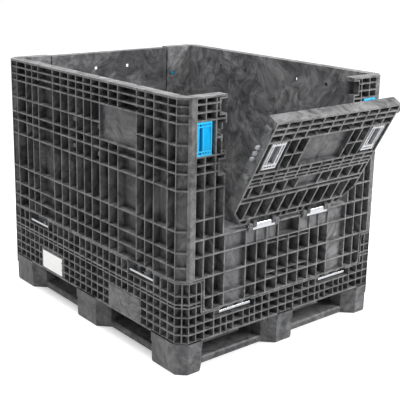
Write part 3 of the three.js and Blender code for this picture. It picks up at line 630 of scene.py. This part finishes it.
one_side = glued(side_wall(), *[hinge_lugs(e * SIDE_HINGE, 348, 35, HALF_X) for e in (-1, 1)])
for side, quarters in SIDES:
    wall = put_mesh(f"ribbed_side_wall_{side}", turned(one_side, quarters), "container_base", CHARCOAL)
    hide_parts(f"side_wall_{side}")

# %% [markdown]
# ## End walls
# The short walls are U shaped: two posts beside the door opening over a ribbed
# panel. The U is the same grid with the opening's cells left out. Beside the
# door the frame rib is broken where the door's lugs and bolts go in.

# %% End walls
SILL, POST, EDGE, LOW = 498.0, 320.0, 455.2, 410.5


def end_wall(seam):
    bottom, step = seam + 0.8, 350.5
    lower = [bottom + 3.5, seam + 55, 354, 432]
    post_rows = [565, 672, 711, 770, 784, 910, 921, 983]
    right_side = np.concatenate([
        standing([55, 112, 162], bottom, SILL), standing([214, 316], bottom, SILL),
        standing(366, bottom, 785), standing(366, 908, HEIGHT), standing(366, 785, 908, 0, 7),
        standing(412, step, 785), standing(412, 908, HEIGHT), standing(408.5, bottom, step, 0, 5),
        standing(452, step, HEIGHT, 0, 6.5),
        standing(323.5, SILL - 6, 714, 0, 7), standing(323.5, 767, 794, 0, 7),
        standing(323.5, 892, 924, 0, 7), standing(323.5, 980, HEIGHT, 0, 7),
        standing(350, 711, 770), standing(350, 921, 980), standing(341, 790, 896),
        lying([565, 672, 729, 757], POST, EDGE), lying([786.5, 909, 937, 965], POST, EDGE),
        lying([713, 769], POST, 353), lying([923, 979], POST, 353), lying(846, 338, 366),
        lying(300, 0, 112, -4, 4), lying(415, 0, 112, -4, 4),
        [(214, 316, bottom, SILL, -17), (60, 213, 432, SILL, -7), (366, 412, 565, 672, -24)],
        [(POST, EDGE + 9, 984, HEIGHT, 0)],
    ])
    # the lug notches and the bolt recess stay open to the doorway
    clear = both([(POST, 347, 716, 766, 0), (POST, 347, 926, 976, 0), (POST, 338, 796, 890, 0)])
    ribs = np.concatenate([both(right_side), standing(0, bottom, 432),
                           lying(lower, -EDGE, EDGE), [(-EDGE - 9, EDGE + 9, SILL - 7, SILL, 0)],
                           [(-EDGE - 9, EDGE + 9, step, step + 6, 0)]])
    # a slot for the blue latch's hook, and a notch in the sill for the door's hinge eyes
    slots = both([(331, 361, 855, 873, 0), (63, 213, 487, 499, 0)])
    s = grid_lines(-EDGE, EDGE, ribs[:, :2], clear[:, :2], slots[:, :2], [(-LOW, LOW), (-POST, POST)])
    v = grid_lines(bottom, HEIGHT, ribs[:, 2:4], clear[:, 2:4], slots[:, 2:4], [(step, SILL)])
    height = relief_of(s, v, ribs)
    for s0, s1, v0, v1, _ in clear:
        inside = ((s >= s0 - MERGED) & (s <= s1 + MERGED))[:, None] & ((v >= v0) & (v <= v1))[None, :]
        height[inside] = -33.0
    holes = [(-POST, POST, SILL, 2000), (-1000, -LOW, 0, step), (LOW, 1000, 0, step), *slots[:, :4]]
    knots = path_round([(-EDGE, -HALF_Y), (EDGE, -HALF_Y)], WALL)
    knots[:, 0] -= EDGE
    return moulded(knots, s, v, height, kept_cells(s, v, holes))


def knuckles(centre, outer, z, direction, radius=12.0):
    """A pair of hinge eyes round a door rod, on a neck that goes up or down to its wall."""
    angle = np.radians(np.linspace(0, 180, 13)) + (np.pi if direction > 0 else 0)
    eye = np.stack([radius * np.cos(angle), radius * np.sin(angle)], axis=1)
    ends = (4, -radius) if direction > 0 else (-radius, 4)
    outline = np.concatenate([eye, [(depth, 21.0 * direction) for depth in ends]])
    parts = []
    for k in (-1, 1):
        x0, x1 = sorted([centre + k * outer, centre + k * (outer - 18)])
        points, faces, relief = flipped(loft(outline, [(x0, 1), (x0 + 1, 0), (x1 - 1, 0), (x1, 1)]))
        parts.append((points[:, [2, 0, 1]] * [1, -1, 1] + [0, -HALF_Y - 1, z], faces, relief))
    return glued(*parts)


for side, quarters, seam in ENDS:
    parts = [end_wall(seam)]
    foot_lip = lip([(-407, 349), *bend(-383, seam + 28, 24, 180, 270), (-331, seam + 4)], 4.5, -2, 1.5)
    parts += [foot_lip, mirrored_x(foot_lip)]
    for e in (-1, 1):
        parts.append(hinge_lugs(e * END_HINGE, seam, 16, HALF_Y))
        parts.append(knuckles(e * DOOR_HINGE, 74.2, DOOR_AXIS, -1))
    wall = put_mesh(f"ribbed_{side}_wall", turned(glued(*parts), quarters), f"{side}_wall", END_GREY_PAINTED_LIGHTER)
    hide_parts(f"{side}_wall")

# %% [markdown]
# ## Drop doors
# The door is drawn shut, in the end wall's plane, with its own pattern of
# pockets, and its two lower corners are sliced off. The front one is then turned
# about its hinge, 29 degrees open, as the photo shows it.

# %% Drop doors
DOOR, DOOR_LOW, DOOR_TOP, TILT = 313.0, 512.0, 987.0, 29.0


def door_panel():
    fine = [28, 85, 142, 198, 254]
    half = np.concatenate([
        standing(fine, 540, 633, 0, 8), standing([57, 115, 170, 227, 284], 653, 709, 0, 7.5),
        standing(fine, 707, 766, 0, 7), standing(fine, 901, DOOR_TOP, 0, 6.5),
        standing([28, 224, 262], DOOR_LOW, 543), standing([58, 217], DOOR_LOW, 543),
        standing([112, 158], 764, 903), standing(202, 764, 903, 0, 4), standing(288, 764, 903, 0, 5),
        lying(833, 112, 204), standing(309, DOOR_LOW, DOOR_TOP, 0, 8),
        [(-57, 57, 654, 708, -10), (0, 112, 764, 903, -17), (0, 28, 632, 654, -6)],
    ])
    ribs = np.concatenate([
        both(half), lying([542, 632, 653, 709, 765, 902, 934, 958], -DOOR - 9, DOOR + 9, 0, 7.5),
        lying([725, 743], -DOOR - 9, DOOR + 9),
        [(-DOOR - 9, DOOR + 9, DOOR_LOW, DOOR_LOW + 6, 0), (-DOOR - 9, DOOR + 9, 980, DOOR_TOP, 0)]])
    seats = [(x - BAY, x + BAY, DOOR_LOW - 9, DOOR_LOW + 12) for x in (-DOOR_HINGE, DOOR_HINGE)]
    holes = both([(78, 94, 910, 926, 0), (188, 200, 856, 872, 0)])[:, :4]
    s = grid_lines(-DOOR, DOOR, ribs[:, :2], np.array(seats)[:, :2], holes[:, :2])
    v = grid_lines(DOOR_LOW, DOOR_TOP, ribs[:, 2:4], [(DOOR_LOW - 9, DOOR_LOW + 12)], holes[:, 2:4])
    knots = path_round([(-DOOR, -HALF_Y), (DOOR, -HALF_Y)], WALL)
    knots[:, 0] -= DOOR
    return moulded(knots, s, v, relief_of(s, v, ribs), kept_cells(s, v, [*seats, *holes]))


def sliced(part, point, normal):
    """The shell with what lies beyond a plane cut off and the cut closed."""
    points, faces, relief = trimmed(*part)
    work = bmesh.new()
    layer = work.verts.layers.float.new("relief")
    corners = [work.verts.new(p) for p in points]
    for corner, value in zip(corners, relief):
        corner[layer] = value
    for group in faces:
        for face in group:
            work.faces.new([corners[i] for i in face])
    everything = work.verts[:] + work.edges[:] + work.faces[:]
    bmesh.ops.bisect_plane(work, geom=everything, plane_co=point, plane_no=normal, clear_outer=True)
    bmesh.ops.holes_fill(work, edges=[e for e in work.edges if e.is_boundary], sides=0)
    bmesh.ops.triangulate(work, faces=[f for f in work.faces if len(f.verts) > 4])
    work.verts.index_update()
    new_points = np.array([v.co for v in work.verts])
    new_relief = np.array([v[layer] for v in work.verts])
    rings = [[v.index for v in f.verts] for f in work.faces]
    work.free()
    groups = [[ring for ring in rings if len(ring) == sides] for sides in (3, 4)]
    return shell(new_points, [np.array(group) for group in groups if group], new_relief)


def corner_rib(end):
    """The solid rib along a sliced lower corner."""
    across = np.array([62.0, 74.4]) / np.hypot(62, 74.4)
    inward = np.array([-across[1], across[0]]) * 8
    a, b = np.array([DOOR - 62, DOOR_LOW]), np.array([DOOR, DOOR_LOW + 74.4])
    outline = np.array([a, b, b + inward, a + inward])
    if end < 0:
        outline = (outline * [-1, 1])[::-1]
    return loft(outline, [(-45 + HALF_Y, 0.5), (-44 + HALF_Y, 0), (HALF_Y - 1, 0), (HALF_Y, 1)], axis=1)


def side_lug(end, z):
    """Round lug on the door's side edge, with its neck."""
    angle = np.arange(24) * 2 * np.pi / 24
    disc = np.stack([13 * np.cos(angle) + end * 322, 13 * np.sin(angle) + z], axis=1)
    x0, x1 = end * 315 - 7, end * 315 + 7
    neck = [(x0, z - 12), (x1, z - 12), (x1, z + 12), (x0, z + 12)]
    depth = [(HALF_Y - 29, 1), (HALF_Y - 28, 0), (HALF_Y - 5, 0), (HALF_Y - 4, 1)]
    return glued(loft(disc, depth, axis=1), loft(neck, depth, axis=1))


door = door_panel()
for end in (-1, 1):
    slope = np.array([end * 74.4, 0, -62.0])
    door = sliced(door, (end * (DOOR - 62), 0, DOOR_LOW), slope / np.linalg.norm(slope))
door = glued(door, *[flipped(corner_rib(e)) for e in (-1, 1)],
             *[flipped(side_lug(e, z)) for e in (-1, 1) for z in (741, 952)],
             *[knuckles(e * DOOR_HINGE, 55.4, DOOR_AXIS, 1) for e in (-1, 1)])


def swung(part, degrees):
    """A shell turned about the front door's hinge, which lies along x, 1 mm outside the wall."""
    points, faces, relief = part
    c, s = np.cos(np.radians(degrees)), np.sin(np.radians(degrees))
    hinge = np.array([0, -HALF_Y - 1, DOOR_AXIS])
    return (points - hinge) @ np.array([[1, 0, 0], [0, c, s], [0, -s, c]]) + hinge, faces, relief


def in_place(part, side):
    """Front pieces swing open with their door; rear ones turn to the back."""
    return swung(part, TILT) if side == "front" else turned(part, 2)


for side in ("front", "rear"):
    panel = put_mesh(f"ribbed_{side}_door", in_place(door, side), f"{side}_door", DOOR_GREY_PAINTED_DARKER)
    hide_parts(f"{side}_door")

# %% [markdown]
# ## Latches
# A latch is a plate that slides in a pocket: blue ones lock the end walls to the
# side walls, pale ones lock the door. Both have a long finger recess and rows of
# small grips at top and bottom, so they are small walls of the same kind.

# %% Latches
def latch(x0, x1, z0, z1, grip0, grip1):
    """Plate 9 mm thick, 1 mm under the wall's face, with a finger recess and grip bars."""
    middle = (z0 + z1) / 2
    bars = np.linspace(x0 + 9, x1 - 9, 5)
    ribs = np.concatenate([
        [(x0, x1, z0, z0 + 7, 0), (x0, x1, z1 - 7, z1, 0)],
        [(x0, x0 + 5, z0, z1, 0), (x1 - 5, x1, z0, z1, 0)],
        [(x0, x1, z0 + 14, middle - 40, 0), (x0, x1, middle + 40, z1 - 14, 0)],
        [(x0, grip0 - 1, z0, z1, -3), (grip1 + 1, x1, z0, z1, -3)],
        [(grip0 - 6, grip0 - 1, middle - 40, middle + 40, 0)],
        [(grip1 + 1, grip1 + 6, middle - 40, middle + 40, 0)],
        standing(bars, z0 + 6, z0 + 15, 0, 3.5), standing(bars, z1 - 15, z1 - 6, 0, 3.5),
    ])
    s = grid_lines(x0, x1, ribs[:, :2])
    v = grid_lines(z0, z1, ribs[:, 2:4])
    knots = path_round([(x0, -HALF_Y + 1), (x1, -HALF_Y + 1)], 24)
    knots[:, 0] += x0
    return moulded(knots, s, v, relief_of(s, v, ribs, floor=-14.0), kept_cells(s, v, []), floor=-14.0)


def wall_latch():
    """The blue latch, its tongue, and the hook that shows in the end wall's slot."""
    tongue = block(436, 462, -HALF_Y + 22, -HALF_Y + 31, 834, 860)
    hook = [block(347, 400, -HALF_Y + 35, -HALF_Y + 38, 861, 867),
            block(346, 358, -HALF_Y + 35, -HALF_Y + 44, 857, 871)]
    return glued(latch(384.4, 449.4, 788.5, 905.5, 426, 438), tongue, *hook)


def door_latch():
    """The pale latch and its three bolts."""
    bolts = [block(276, 327, -HALF_Y + 22, -HALF_Y + 31, z - 7, z + 7, 1.5) for z in (818, 843, 868)]
    return glued(latch(218.2, 284.2, 781, 905, 238, 268), *bolts)


for side in ("front", "rear"):
    for name, end in (("left", -1), ("right", 1)):
        pick = mirrored_x if end < 0 else (lambda part: part)
        blue = put_mesh(f"blue_latch_{side}_{name}", turned(pick(wall_latch()), 0 if side == "front" else 2),
                        f"{side}_wall_latch_{name}", BLUE)
        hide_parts(f"{side}_wall_latch_{name}")
        pale = put_mesh(f"pale_latch_{side}_{name}", in_place(pick(door_latch()), side),
                        f"{side}_door_latch_{name}", PALE)
        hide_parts(f"{side}_door_latch_{name}")

# %% [markdown]
# ## Steel rods
# The hinge rods are drawn steel. Those of the base lie deep in their notches,
# each with a bright bar in front that belongs to the same piece; those of the
# doors carry a rolled plate.

# %% Rods
def base_rod(x, y, z):
    """A hinge rod 32 mm behind the face at y, and the bright bar that closes its notch in front."""
    rod_reach, bar_reach = BAY + 12, BAY - 0.5
    return glued(rod(x - rod_reach, x + rod_reach, y + 32, z, 4),
                 block(x - bar_reach, x + bar_reach, y + 5, y + 8, z - 4.5, z + 4.5))


def steel_piece(name, part, body, cad_node):
    """Puts a rod in the scene in place of a solid."""
    piece = put_mesh(name, part, body, STEEL)
    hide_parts(cad_node)


for name, end in (("left", -1), ("right", 1)):
    for side, quarters, seam in ENDS:
        low_rod = base_rod(end * END_HINGE, -HALF_Y, seam - 16)
        steel_piece(f"base_rod_{side}_{name}", turned(low_rod, quarters), "container_base",
                    f"{side}_wall_rod_{name}")
        x = end * DOOR_HINGE
        hinge = glued(rod(x - BAY, x + BAY, -HALF_Y - 1, DOOR_AXIS, 8),
                      rod(x - 54, x + 54, -HALF_Y - 1, DOOR_AXIS, 9.5),
                      block(x - 54, x + 54, -HALF_Y - 9.5, -HALF_Y - 7.5, 488, 510, 0.6))
        steel_piece(f"door_rod_{side}_{name}", turned(hinge, quarters), f"{side}_wall",
                    f"{side}_door_rod_{name}")
    for side, quarters in SIDES:
        low_rod = base_rod(end * SIDE_HINGE, -HALF_X, 313)
        steel_piece(f"side_rod_{side}_{name}", turned(low_rod, quarters), "container_base",
                    f"side_rod_{side}_{name}")

# %% [markdown]
# ## Base
# The base's ribbed rail is one band right round the container, so its path is a
# closed loop. It is high under the side walls, low under the end walls, and ends
# in an ear at each corner. Below it stand nine feet, tied by skids, and inside
# lies the deck.

# %% Rail round the base
EAR_X, EAR_Y = 472, 573.5  # where each corner's slant begins
AROUND = [(0, -HALF_Y), (EAR_X, -HALF_Y), (HALF_X, -EAR_Y), (HALF_X, EAR_Y), (EAR_X, HALF_Y),
          (-EAR_X, HALF_Y), (-HALF_X, EAR_Y), (-HALF_X, -EAR_Y), (-EAR_X, -HALF_Y), (0, -HALF_Y)]
SLANT = CHAMFER * np.sqrt(2)
# distance along the rail, from the front's middle, to the middle of each other face and once round
RIGHT = EAR_X + SLANT + EAR_Y
REAR = RIGHT + EAR_Y + SLANT + EAR_X
LEFT = REAR + EAR_X + SLANT + EAR_Y
LOOP = LEFT + EAR_Y + SLANT + EAR_X


def base_rail():
    """The closed band with its ribs, the hinge notches and the lower ends left out."""
    knots = path_round(AROUND, WALL)
    end_columns = np.array([40, 88, 124, 161, 186, 217, 266, 298, 325, 358, 403, 440])
    side_columns = np.array([42, 84, 126, 168, 214, 250, 290, 330, 370, 410, 450, 490, 532])
    mirrored_end = np.concatenate([-end_columns, end_columns])
    mirrored_side = np.concatenate([-side_columns, side_columns, [0]])
    corners = [LOOP - EAR_X - SLANT / 2, EAR_X + SLANT / 2,
               REAR - EAR_X - SLANT / 2, REAR + EAR_X + SLANT / 2]
    spots = np.concatenate([
        end_columns, LOOP - end_columns, REAR + mirrored_end, [REAR], RIGHT + mirrored_side,
        LEFT + mirrored_side, corners, [EAR_X, LOOP - EAR_X, REAR - EAR_X, REAR + EAR_X],
        [RIGHT - 572, RIGHT + 572, LEFT - 572, LEFT + 572]])
    card, blank = LEFT - 263, LEFT + 263
    hidden = (np.abs(spots - card) < 86) | (np.abs(spots - blank) < 100)
    ribs = np.concatenate([
        standing(spots[~hidden], 118, 348.0, 0, 5), standing(spots[hidden], 207, 348.0, 0, 5),
        standing([0, LOOP], 118, 348, 0, 5),
        lying([154, 186, 219, 254, 298], -9, LOOP + 9, 0, 5),
        [(-9, LOOP + 9, 118, 125, 0), (-9, LOOP + 9, 342, 348, 0), (-9, LOOP + 9, 264, 270, 0)],
        [(card - 88, card + 88, 118, 212, -1.6), (blank - 102, blank + 102, 118, 214, -1)],
        [(REAR - 420, REAR + 420, 230, 270, -30)],
    ])
    holes = [(181, 331, 190, 223), (LOOP - 331, LOOP - 181, 190, 223)]
    holes += [(REAR + e * 256 - 75, REAR + e * 256 + 75, 238, 271) for e in (-1, 1)]
    holes += [(side + e * 367 - 75, side + e * 367 + 75, 297, 349) for side in (RIGHT, LEFT) for e in (-1, 1)]
    holes += [(-1, 413, 222, 999), (LOOP - 413, LOOP + 1, 222, 999), (REAR - 413, REAR + 413, 270, 999)]
    slants = [(LOOP - EAR_X - SLANT, LOOP - EAR_X), (EAR_X, EAR_X + SLANT),
              (REAR - EAR_X - SLANT, REAR - EAR_X), (REAR + EAR_X, REAR + EAR_X + SLANT)]
    s = grid_lines(0, LOOP, ribs[:, :2], np.array(holes)[:, :2], slants)
    v = grid_lines(118, 348, ribs[:, 2:4], [(190, 222), (238, 270), (297, 348)])
    height = relief_of(s, v, ribs)
    pocket = ((s > card - 77.8) & (s < card + 77.8))[:, None] & ((v > 127.7) & (v < 204.3))[None, :]
    return moulded(knots, s, v, np.where(pocket, -2.3, height), kept_cells(s, v, holes), loop=True)


# %% Feet, skids and deck
def foot(x0, x1, y0, y1, chamfers):
    """A foot: outline with cut corners, pulled in at the floor and waisted at the deck."""
    a, b, c, d = chamfers
    outline = [(x0 + a, y0), (x1 - b, y0), (x1, y0 + b), (x1, y1 - c),
               (x1 - c, y1), (x0 + d, y1), (x0, y1 - d), (x0, y0 + a)]
    return loft(outline, [(0, 7), (7, 4), (20, 3.5), (80, 3), (83, 0), (124, 0)])


def feet():
    found = [foot(-86, 86, -115, 115, [45] * 4)]
    for i in (-1, 1):
        x0, x1 = sorted([i * HALF_X, i * (HALF_X - 140)])
        y0, y1 = sorted([i * HALF_Y, i * (HALF_Y - 217)])
        found += [foot(x0, x1, -115, 115, [45] * 4), foot(-86, 86, y0, y1, [45] * 4)]
        for j in (-1, 1):
            y2, y3 = sorted([j * HALF_Y, j * (HALF_Y - 217)])
            cuts = [36 if (p, q) == (i, j) else 45 for p, q in ((-1, -1), (1, -1), (1, 1), (-1, 1))]
            found.append(foot(x0, x1, y2, y3, cuts))
    return glued(*found)


def skids():
    found = [block(x - 46, x + 46, -564.5, 564.5, 0, 28, 6) for x in (-417, 0, 417)]
    return glued(*found, *[block(-463, 463, y - 46, y + 46, 0, 28, 6) for y in (-518.5, 0, 518.5)])


def deck():
    """A plate on a grid of ribs, with shallow panels on top."""
    lines_x, lines_y = np.linspace(-463, 463, 9), np.linspace(-564, 564, 11)
    plate = block(-470, 470, -571, 571, 158, 165, 0.5)
    ribs = [block(x - 2.5, x + 2.5, -566, 566, 118, 159, 0.5) for x in lines_x]
    return glued(plate, *ribs, *[block(-465, 465, y - 2.5, y + 2.5, 118, 159, 0.5) for y in lines_y])


def ear_lips(seam):
    """The rolled edge of the two ears at one end: along the top, round, and down to the seam."""
    left = lip([(-470, 345), *bend(-432, 331, 14, 90, 0), *bend(-402, seam + 12, 16, 180, 250)], 4.5, -2, 1.5)
    return glued(left, mirrored_x(left))


base_parts = glued(base_rail(), feet(), skids(), deck(), ear_lips(222), turned(ear_lips(270), 2))
base = put_mesh("ribbed_pallet_base", base_parts, "container_base", CHARCOAL)
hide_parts("pallet_base")

# %% [markdown]
# ## Card
# A white card sits in a shallow pocket on the left of the base. It is bare.

# %% Card
card = put_mesh("white_card", turned(block(-340.2, -185.8, -HALF_X + 1, -HALF_X + 2.2, 128.3, 203.7, 0.4), 3),
                "container_base", CARD)
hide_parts("placard")

# %% [markdown]
# ## Floor, backdrop and light
# The photo is cut out on white with a faint shadow. The floor is pale and adds
# some light of its own for the camera only, so it comes out white while the
# object's shadow stays. A large soft lamp on the right gives the end wall its
# lighter tone; the world fills the rest.

# %% Floor and light
def white_floor():
    """A pale floor with a glow that the camera and mirrors see, but not under the container."""
    material, tree, shader = new_material("white floor")
    shader.inputs["Base Color"].default_value = (0.8, 0.8, 0.8, 1)
    shader.inputs["Roughness"].default_value = 0.9
    rays = tree.nodes.new("ShaderNodeLightPath").outputs
    seen = maths(tree, "MAXIMUM", rays["Is Camera Ray"], rays["Is Glossy Ray"])
    # under the container the floor has no light of its own, so the fork openings look dark
    position = tree.nodes.new("ShaderNodeNewGeometry").outputs["Position"]
    place = node(tree, "ShaderNodeVectorMath", {0: position}, operation="ABSOLUTE").outputs[0]
    away = node(tree, "ShaderNodeSeparateXYZ", {0: place}).outputs
    open_air = maths(tree, "MAXIMUM", ranged(tree, away["X"], 0.3, 0.52), ranged(tree, away["Y"], 0.4, 0.62))
    glow = maths(tree, "MULTIPLY", maths(tree, "MULTIPLY", seen, open_air), 0.5)
    shader.inputs["Emission Color"].default_value = (1, 1, 1, 1)
    tree.links.new(glow, shader.inputs["Emission Strength"])
    return material


floor_mesh = bpy.data.meshes.new("floor")
floor_corners = [(30 * i, 30 * j, -0.0005) for i, j in ((-1, -1), (1, -1), (1, 1), (-1, 1))]
floor_mesh.from_pydata(floor_corners, [], [(0, 1, 2, 3)])
floor_mesh.materials.append(white_floor())
floor = bpy.data.objects.new("floor", floor_mesh)
bpy.context.scene.collection.objects.link(floor)

world = bpy.data.worlds.new("studio")
world.use_nodes = True
tree = world.node_tree
rays = tree.nodes.new("ShaderNodeLightPath").outputs
plain = maths(tree, "MAXIMUM", rays["Is Camera Ray"], rays["Is Transmission Ray"])
tree.links.new(ranged(tree, plain, 0.0, 1.0, 0.62, 1.0), tree.nodes["Background"].inputs["Strength"])
tree.nodes["Background"].inputs["Color"].default_value = (1, 1, 1, 1)
bpy.context.scene.world = world


def soft_lamp(name, place, aim, size, watts):
    """A square area lamp that looks at a point."""
    light = bpy.data.lights.new(name, "AREA")
    light.size, light.energy = size, watts
    lamp = bpy.data.objects.new(name, light)
    away = np.array(place, float) - aim
    away /= np.linalg.norm(away)
    side = np.cross([0, 0, 1.0], away)
    side /= np.linalg.norm(side)
    turn = np.eye(4)
    turn[:3, :3] = np.stack([side, np.cross(away, side), away], axis=1)
    turn[:3, 3] = place
    lamp.matrix_world = Matrix(turn.tolist())
    bpy.context.scene.collection.objects.link(lamp)


soft_lamp("key", (3.2, -4.2, 3.6), (0, 0, 0.5), 2.2, 330)
soft_lamp("top", (-0.5, 0.5, 4.6), (0, 0, 0.5), 3.0, 230)
bpy.context.scene.view_settings.view_transform = "Standard"
